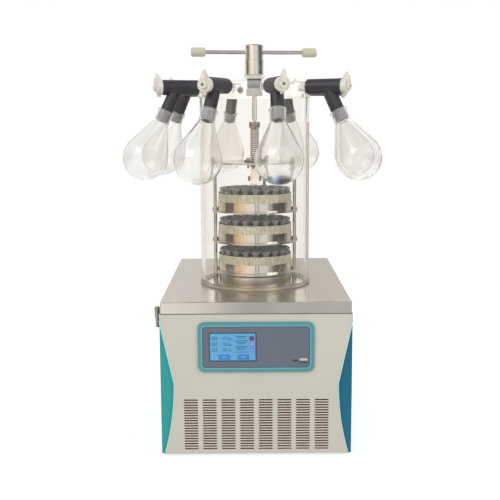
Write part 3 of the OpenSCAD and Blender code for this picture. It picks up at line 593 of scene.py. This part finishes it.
def screen_inks():
    """The screen's materials, in the order of the names above."""
    edge = 0.0001
    return [
        plastic("screen_ink", srgb(48, 92, 142), 0.3, edge),
        plastic("screen_rim", srgb(38, 52, 84), 0.35, 2 * edge),
        plastic("screen_red", srgb(128, 66, 110), 0.3, edge),
        plastic("screen_mauve", srgb(150, 128, 196), 0.3, edge),
        plastic("screen_lilac", srgb(112, 132, 210), 0.3, edge),
        plastic("screen_key", srgb(66, 128, 206), 0.3, edge),
        plastic("screen_glow", srgb(128, 196, 232), 0.2, edge),
    ]


class Screen(Tiles):
    """Tiles on the screen, placed by shares of its width and height from its top left corner."""

    SEGMENTS = {"a": (0, 1, 1, 1), "g": (0, .5, 1, .5), "d": (0, 0, 1, 0), "f": (0, .5, 0, 1),
                "b": (1, .5, 1, 1), "e": (0, 0, 0, .5), "c": (1, 0, 1, .5)}
    DIGITS = {"1": "bc", "2": "abged", "3": "abgcd", "4": "fgbc", "5": "afgcd", "6": "afgedc",
              "7": "abc", "-": "g"}
    DIGIT_H, DIGIT_W, DIGIT_STEP, STROKE = 0.0066, 0.0034, 0.00527, 0.00062

    def at(self, across, down):
        """The X and Z of a place on the screen."""
        return (screen_lo.x + across * (screen_hi.x - screen_lo.x),
                screen_hi.z - down * (screen_hi.z - screen_lo.z))

    def bar(self, left, top, wide, high, mat, r=0.0, thick=Tiles.THICK):
        """A tile whose place and size are shares of the screen's."""
        x0, z1 = self.at(left, top)
        x1, z0 = self.at(left + wide, top + high)
        self.rect(x0, z0, x1, z1, mat, r, thick)

    def rim(self):
        """The dark edge round the picture."""
        x0, x1, z0, z1 = screen_lo.x, screen_hi.x, screen_lo.z, screen_hi.z
        wide, proud = 0.0017, 0.0005
        for strip in ((x0, z0, x1, z0 + wide), (x0, z1 - wide, x1, z1),
                      (x0, z0 + wide, x0 + wide, z1 - wide), (x1 - wide, z0 + wide, x1, z1 - wide)):
            self.rect(*strip, RIM, thick=proud)

    def number(self, text, left, bottom):
        """Plain seven-segment digits."""
        x, z = self.at(left, bottom)
        half = self.STROKE / 2
        for sign in text:
            if sign == ".":
                corner, dot = x - self.DIGIT_W * 0.25, self.STROKE * 1.5
                self.rect(corner, z, corner + dot, z + dot, INK)
                continue
            for segment in self.DIGITS[sign]:
                x0, z0, x1, z1 = self.SEGMENTS[segment]
                self.rect(x + x0 * self.DIGIT_W - half, z + z0 * self.DIGIT_H - half,
                          x + x1 * self.DIGIT_W + half, z + z1 * self.DIGIT_H + half, INK)
            x += self.DIGIT_STEP

    def reading(self, top, value, state, core):
        """One row: three words of three lines, a number, its unit's dot, three lines, a state square."""
        for k in range(3):
            for line, (indent, wide) in enumerate(((0, 0.030), (0, 0.028), (0.005, 0.028))):
                self.bar(0.055 + 0.042 * k + indent, top + 0.045 * line, wide, 0.022, INK)
        self.number(value, 0.245, top + 0.105)
        x, z = self.at(0.45, top + 0.085)
        dot_r = 0.0017
        self.rect(x - dot_r, z - dot_r, x + dot_r, z + dot_r, INK, r=0.0016)
        for left, down, wide, high in ((0.57, -0.02, 0.23, 0.024), (0.60, 0.035, 0.16, 0.017),
                                       (0.56, 0.125, 0.27, 0.018)):
            self.bar(left, top + down, wide, high, INK)
        self.bar(0.855, top - 0.02, 0.10, 0.155, state, r=0.0008, thick=0.0004)
        self.bar(0.88, top + 0.03, 0.05, 0.045, core, r=0.0004, thick=0.0006)

    def key(self, left):
        """A key with a bright word on it."""
        self.bar(left, 0.765, 0.25, 0.18, KEY, r=0.001, thick=0.0004)
        self.bar(left + 0.07, 0.835, 0.11, 0.03, GLOW, thick=0.0006)


def screen_content():
    """Field bars, plain numbers, state squares and two keys."""
    screen = Screen(screen_lo.y)
    screen.rim()
    rows = (("-47.2", RED, INK), ("-46.3", MAUVE, GLOW), ("13.5", LILAC, GLOW))
    for k, (value, state, core) in enumerate(rows):
        screen.reading(0.145 + 0.20 * k, value, state, core)
    for left in (0.195, 0.60):
        screen.key(left)
    screen.done("screen_fields", screen_inks(), slot="screen")


# ------------------------------------------------------------------ lines and marks of the cabinet

def bezel_line():
    """The pale line inside the bezel."""
    inset, corner_r, bead_r, sunk = 0.0087, 0.0088, 0.0009, 0.0002
    outline = rounded(bezel_lo.x + inset, bezel_lo.z + inset, bezel_hi.x - inset, bezel_hi.z - inset,
                      corner_r, steps=8)
    pale = plastic("bezel_line", srgb(128, 200, 205), edge=0.0002)
    sweep("bezel_line", [(x, bezel_lo.y + sunk, z) for x, z in outline], bead_r, pale,
          closed=True)


def front_edge():
    """Points (half width, height) of the front panel's edge: an arc from foot to waist, then a slant."""
    waist, high = front_hi.x - WAIST_IN, WAIST_Z - front_lo.z
    bow = WAIST_IN - FOOT_IN
    r = (high ** 2 + bow ** 2) / (2 * bow)
    drops = [high * (1 - i / 16) for i in range(17)]
    arc = [(waist + r - math.sqrt(r ** 2 - drop ** 2), WAIST_Z - drop) for drop in drops]
    shares = [k / 8 for k in range(1, 9)]
    slant = [(waist + WAIST_IN * share, WAIST_Z + (SLANT_TOP - WAIST_Z) * share) for share in shares]
    return arc + slant


def trim_highlight_beads():
    """Pale beads, a painted highlight along the edge where the side panels' trims meet the front panel."""
    bead_r, sunk = 0.0013, 0.0001
    highlight_mint = plastic("trim_highlight_bead", srgb(186, 228, 228), edge=0.0002)
    # painted highlight: a pale bead along each trim's edge
    for side, name in ((-1, "trim_highlight_bead_left"), (1, "trim_highlight_bead_right")):
        path = [(side * x, front_lo.y + sunk, z) for x, z in front_edge()]
        sweep(name, path, bead_r, highlight_mint)


def lip_gasket_shadow():
    """The dark gasket under the lip of the top plate, which also draws the painted shadow line under the
    lip.
    """
    inset, below, bead_r = 0.0014, 0.0004, 0.0013
    low = plate_lo.z - below
    half_w, front, back = plate_hi.x - inset, plate_lo.y + inset, plate_hi.y - inset
    loop = [(-half_w, back, low), (-half_w, front, low), (half_w, front, low), (half_w, back, low)]
    # the dark bead paints the shadow line under the lip
    sweep("lip_gasket_shadow", loop, bead_r, rubber("lip_gasket_shadow", srgb(40, 38, 36), 0.6, 0.0003),
          closed=True)


def port_mark():
    """Four small strokes beside the port cover, for its label."""
    away, pitch, wide, below, above = 0.0155, 0.0033, 0.0022, 0.0020, 0.0024
    strokes = Tiles(fascia_y)
    for k in range(4):
        x = port_lo.x - away + pitch * k
        strokes.rect(x, port_z - below, x + wide, port_z + above, 0)
    strokes.done("port_mark", [plastic("port_mark", srgb(52, 50, 54), 0.5, 0.0001)], slot="fascia_plastic")


def screw_heads(name, places, way, mat):
    """Pan heads with a washer and a socket, that stand on a face with the outward normal way."""
    r = 0.0034
    head = [(r * 1.45, -0.0004), (r * 1.45, 0.0005), (r * 1.38, 0.0008), (r, 0.0008), (r, 0.0017),
            (r * 0.86, 0.0024), (r * 0.56, 0.0027), (r * 0.5, 0.0026), (r * 0.48, 0.0010), (0.0002, 0.0010)]
    turn = Vector(way).to_track_quat("Z", "Y").to_matrix()
    verts, faces = [], []
    for place in places:
        lathe(verts, faces, head, place, turn, 18)
    piece(name, verts, faces, [mat])


def body_screws():
    """The screws that hold the side sheets and the rear panel."""
    steel = metal("screw_steel", srgb(176, 176, 174), 0.3, 0.0002)
    left_lo, left_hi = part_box("left_side_panel")
    rear_lo, rear_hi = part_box("rear_panel")
    right_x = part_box("right_side_panel")[1].x
    first, last = left_lo.y + 0.040, left_hi.y - 0.015
    side_spots = [(first + (last - first) * k / 3, z) for k in range(4)
                  for z in (left_lo.z + 0.010, plate_lo.z - 0.016)]
    screw_heads("screws_left", [(left_lo.x, y, z) for y, z in side_spots], (-1, 0, 0), steel)
    screw_heads("screws_right", [(right_x, y, z) for y, z in side_spots], (1, 0, 0), steel)
    outer, low, high = rear_hi.x - 0.012, rear_lo.z + 0.012, plate_lo.z - 0.014
    rear_spots = [(outer * k / 2, z) for k in (-2, -1, 1, 2) for z in (low, high)]
    rear_spots += [(side * outer, (rear_lo.z + plate_lo.z) / 2) for side in (-1, 1)]
    screw_heads("screws_rear", [(x, rear_hi.y, z) for x, z in rear_spots], (0, 1, 0), steel)


# ------------------------------------------------------------------ press and sample

def thread_height(phase):
    """The thread's profile at a share of its pitch: 0 at the root and 1 at the crest."""
    shape = [(0.0, 0), (0.12, 1), (0.56, 1), (0.68, 0), (1.0, 0)]
    (p0, h0), (p1, h1) = next(pair for pair in zip(shape, shape[1:]) if phase <= pair[1][0])
    return h0 + (h1 - h0) * (phase - p0) / (p1 - p0)


def thread(root, crest, z0, z1):
    """Rings of a right-handed thread that fades at both ends."""
    per_turn, around = 16, 36
    steps = int((z1 - z0) / SCREW_PITCH * per_turn)
    verts = []
    for j in range(steps + 1):
        z = z0 + (z1 - z0) * j / steps
        fade = min(1, (z - z0) / SCREW_PITCH, (z1 - z) / SCREW_PITCH)
        for i in range(around):
            phase = ((z - z0) / SCREW_PITCH - i / around) % 1
            r = root + (crest - root) * thread_height(phase) * fade
            a = 2 * math.pi * i / around
            verts.append((r * math.cos(a), axis_y + r * math.sin(a), z))
    return verts, tube_faces(0, steps + 1, around) + end_faces(0, steps + 1, around)


def lead_screw():
    """The real thread in place of the frame's plain rings, with its collar and stem."""
    lo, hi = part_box("lead_screw")
    crest, root, stem, collar = 0.012, 0.0095, 0.006, (hi.x - lo.x) / 2
    z0, z1 = lo.z + SCREW_STEM_H, hi.z - SCREW_COLLAR_H
    verts, faces = thread(root, crest, z0, z1)
    upright = Matrix.Identity(3)
    stem_edge, overlap = 0.0006, 0.001
    lathe(verts, faces, [(stem - stem_edge, 0), (stem, stem_edge), (stem, SCREW_STEM_H + overlap)],
          (0, axis_y, lo.z), upright, 36)
    sunk, edge, top = 0.001, 0.0009, SCREW_COLLAR_H
    hole, hole_edge, hole_depth = 0.0062, 0.0006, 0.010
    lathe(verts, faces, [(root, -sunk), (collar - edge, -sunk), (collar, edge - sunk),
                         (collar, top - edge), (collar - edge, top), (hole + hole_edge, top),
                         (hole, top - hole_edge), (hole, top - hole_depth)], (0, axis_y, z1), upright, 48)
    # the thread's grooves are dark with grease and painted shade
    steel = greased_and_shaded("thread_steel", srgb(250, 244, 236), srgb(92, 82, 74), root, crest)
    cap = metal("collar_steel", srgb(150, 141, 132), 0.3, 0.0003)
    on_cap = [int(min(verts[i][2] for i in face) > z1 - sunk / 2) for face in faces]
    screw = piece("lead_screw_thread", verts, faces, [steel, cap], on_cap, "lead_screw",
                  smooth=True)
    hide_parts("lead_screw")


def foot_clamp():
    """The two ears of the press foot's clamp, each with two screws that face the front."""
    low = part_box("press_foot")[0].z + 0.008
    out, proud, screw_rise = 0.0137, 0.0016, (0.0035, 0.0085)
    ear = [(0.0024, 0), (0.0030, 0.0006), (0.0030, 0.0114), (0.0024, 0.012)]
    cap = [(0.0019, -0.002), (0.0019, 0.003), (0.0016, 0.0034), (0.0010, 0.0034),
           (0.0009, 0.0022), (0.0002, 0.0022)]
    forward = Vector((0, -1, 0)).to_track_quat("Z", "Y").to_matrix()
    verts, faces = [], []
    for side in (-1, 1):
        lathe(verts, faces, ear, (side * out, axis_y, low), Matrix.Identity(3), 20)
        for rise in screw_rise:
            lathe(verts, faces, cap, (side * out, axis_y - proud, low + rise), forward, 14)
    steel = metal("clamp_steel", srgb(172, 156, 128), 0.35, 0.0004)
    piece("foot_clamp", verts, faces, [steel], body="press_foot")


def frozen_sample():
    """A domed dark blue frozen sample that lies in the bulb of the front right flask."""
    low = min((v.co for v in nodes["flask_1"].data.vertices), key=lambda v: v.z)
    centre = Vector((low.x, low.y, low.z + BULB_R))
    inner, rim, dome, tip = BULB_R - FLASK_WALL, 0.030, 0.009, 0.0002
    depth = math.sqrt(inner ** 2 - rim ** 2)
    bowl = [math.asin(rim / inner) * k / 8 for k in range(1, 9)]
    cover = [math.pi / 2 * k / 8 for k in range(1, 8)]
    profile = [(tip, -inner)]
    profile += [(inner * math.sin(t), -inner * math.cos(t)) for t in bowl]
    profile += [(rim * math.cos(t), -depth + dome * math.sin(t)) for t in cover]
    profile += [(tip, -depth + dome)]
    verts, faces = [], []
    lathe(verts, faces, profile, centre, Matrix.Identity(3), 40)
    frozen = ice("sample_ice", left=centre.x - 0.025, right=centre.x + 0.035)
    piece("sample_ice", verts, faces, [frozen], smooth=True)


screen_content()
bezel_line()
trim_highlight_beads()
lip_gasket_shadow()
port_mark()
body_screws()
lead_screw()
foot_clamp()
frozen_sample()


# ------------------------------------------------------------------ floor, light and camera

def floor_coat():
    """White to the camera and in glass and metal, where a thin matt part keeps the object's shadow.

    All else is lit by it as by a pale matt floor. In reflections its front stands for the room
    before the machine, which shades the plate's lip. The bands of that room fan out from a point
    behind the machine, where the lip mirrors the camera.
    """
    n = Coat("floor")
    path = n.add("ShaderNodeLightPath").outputs
    x, y, _ = n.spot()
    spread, fan_y = 3.62, 1.54
    across = n.math("DIVIDE", n.math("MULTIPLY", x, spread), n.math("SUBTRACT", fan_y, y))
    room = n.ramp(n.math("ADD", across, 0.5), [
        (0.13, WHITE), (0.30, (.62, .62, .64, 1)), (0.39, (.15, .155, .22, 1)),
        (0.50, (.08, .085, .15, 1)), (0.63, (.48, .49, .52, 1)), (0.75, (.06, .08, .08, 1)),
        (0.89, (.12, .14, .135, 1)), (1.0, (.2, .2, .2, 1))])
    mirrored = n.math("MULTIPLY", n.rise(y, -0.4, -0.65), n.math("GREATER_THAN", path["Glossy Depth"], 0.5))
    glow = n.add("ShaderNodeEmission", {"Color": n.mix(mirrored, WHITE, room), "Strength": 0.70})
    thin = n.add("ShaderNodeBsdfDiffuse", {"Color": (0.42, 0.42, 0.42, 1)})
    seen = n.add("ShaderNodeAddShader", {0: thin.outputs[0], 1: glow.outputs[0]}).outputs[0]
    lit = n.add("ShaderNodeBsdfDiffuse", {"Color": (0.80, 0.80, 0.79, 1)}).outputs[0]
    looked_at = n.math("MAXIMUM", path["Is Camera Ray"],
                       n.math("MAXIMUM", path["Is Glossy Ray"], path["Is Transmission Ray"]))
    n.plug(n.out.inputs[0], n.blend(looked_at, lit, seen))
    return n.mat


def soft_floor():
    """A round floor under and about the machine."""
    corners, radius = 96, 2.1
    angles = [2 * math.pi * i / corners for i in range(corners)]
    mesh = bpy.data.meshes.new("floor")
    mesh.from_pydata([(radius * math.cos(a), radius * math.sin(a), 0) for a in angles], [],
                     [tuple(range(corners))])
    mesh.materials.append(floor_coat())
    floor = bpy.data.objects.new("floor", mesh)
    bpy.context.scene.collection.objects.link(floor)


# What stands round the object and only shows in reflections: bearing from the front in degrees
# (positive towards +X) and colour.
CARDS = [
    (-180, (.92, .90, .86)), (-150, (.88, .86, .80)), (-125, (.60, .56, .46)), (-106, (.52, .47, .38)),
    (-102, (.10, .07, .045)), (-71, (.08, .055, .035)), (-66, (.60, .44, .28)), (-45, (.88, .70, .50)),
    (-25, (1, .90, .76)), (-5, (1, .98, .94)), (-1, (1, 1, .98)), (0.5, (.22, .22, .20)),
    (2.5, (.25, .25, .23)), (4, (.95, .95, .92)), (7, (.90, .92, .90)), (8.5, (.30, .31, .30)),
    (10.5, (.34, .35, .34)), (13, (.85, .88, .86)), (38, (.80, .83, .82)), (43, (.50, .52, .52)),
    (53, (.34, .34, .35)), (58, (.06, .045, .05)), (104, (.045, .03, .032)), (109, (.40, .36, .30)),
    (114, (.12, .10, .08)), (120, (.56, .53, .46)), (180, (.60, .57, .50))]


def room_colour(n):
    """The room that mirrored rays see, by their direction's X, Y and Z."""
    x, y, z = n.spot("Generated")
    bearing = n.math("ARCTAN2", x, n.math("MULTIPLY", y, -1.0))
    stops = [(degrees / 360 + 0.5, colour + (1,)) for degrees, colour in CARDS]
    room = n.ramp(n.math("MULTIPLY_ADD", bearing, 0.5 / math.pi, 0.5), stops)
    # over head height the room is lighter, which is what the top plate shows from the sides
    room = n.mix(n.rise(z, 0.17, 0.21, high=0.75), room, (.80, .79, .76, 1))
    room = n.mix(n.rise(z, 0.45, 0.7), room, WHITE)
    # the ceiling right over the machine is dark, which draws the dark line along round bars
    room = n.mix(n.rise(z, 0.80, 0.92), room, (.17, .15, .16, 1))
    # straight behind, a white wall stands low over the horizon
    low = n.math("MULTIPLY", n.rise(z, 0.125, 0.095), n.math("GREATER_THAN", z, 0.0))
    wall = n.math("MULTIPLY", low, n.math("GREATER_THAN", y, 0.4))
    return n.mix(wall, room, WHITE)


def sky():
    """White to the camera and to rays that only went through glass. Mirrored rays see the room."""
    world = bpy.data.worlds.new("studio")
    bpy.context.scene.world = world
    world.use_nodes = True
    n = Net(world.node_tree, "ShaderNodeOutputWorld")

    def background(colour, strength):
        return n.add("ShaderNodeBackground", {"Color": colour, "Strength": strength}).outputs[0]

    path = n.add("ShaderNodeLightPath").outputs
    light, white = background(WHITE, 0.74), background(WHITE, 1.0)
    mirrored = n.math("GREATER_THAN", path["Glossy Depth"], 0.5)
    bent = n.math("MAXIMUM", path["Is Glossy Ray"], path["Is Transmission Ray"])
    sharp = n.blend(mirrored, white, background(room_colour(n), 1.0))
    shown = n.blend(path["Is Camera Ray"], n.blend(bent, light, sharp), white)
    n.plug(n.out.inputs[0], shown)


def lamp(name, place, aim, size, watts):
    """A square area light."""
    data = bpy.data.lights.new(name, "AREA")
    data.shape = "RECTANGLE"
    data.size = size
    data.size_y = size
    data.energy = watts
    obj = bpy.data.objects.new(name, data)
    bpy.context.scene.collection.objects.link(obj)
    obj.location = place
    obj.rotation_mode = "QUATERNION"
    obj.rotation_quaternion = (Vector(aim) - Vector(place)).to_track_quat("-Z", "Y")
    return obj


def lamps():
    """A key from the front left, and a fill and a back light that don't show in mirrors."""
    lamp("key", (-1.6, -2.0, 2.4), (0, 0, 0.5), size=1.6, watts=27)
    fill = lamp("fill", (2.2, -1.6, 1.6), (0, 0, 0.5), size=1.8, watts=17)
    back = lamp("back", (0.3, 2.2, 2.2), (0, 0, 0.7), size=1.8, watts=18)
    fill.visible_glossy = False
    back.visible_glossy = False


def camera():
    """Level with the flasks, tipped down a little: a 60 mm view from two metres."""
    away, aside, height = 2.060, -0.0126, 0.7575
    tip_down, roll = math.radians(8.75), math.radians(-0.3)
    cam = bpy.data.objects.new("camera", bpy.data.cameras.new("camera"))
    bpy.context.scene.collection.objects.link(cam)
    cam.data.sensor_width = 36.0
    cam.data.lens = 59.83
    cam.location = (aside, axis_y - away, height)
    cam.rotation_mode = "QUATERNION"
    aim = Matrix.Rotation(math.radians(90) - tip_down, 3, "X") @ Matrix.Rotation(roll, 3, "Z")
    cam.rotation_quaternion = aim.to_quaternion()
    bpy.context.scene.camera = cam


soft_floor()
sky()
lamps()
camera()
bpy.context.scene.view_settings.view_transform = "Standard"
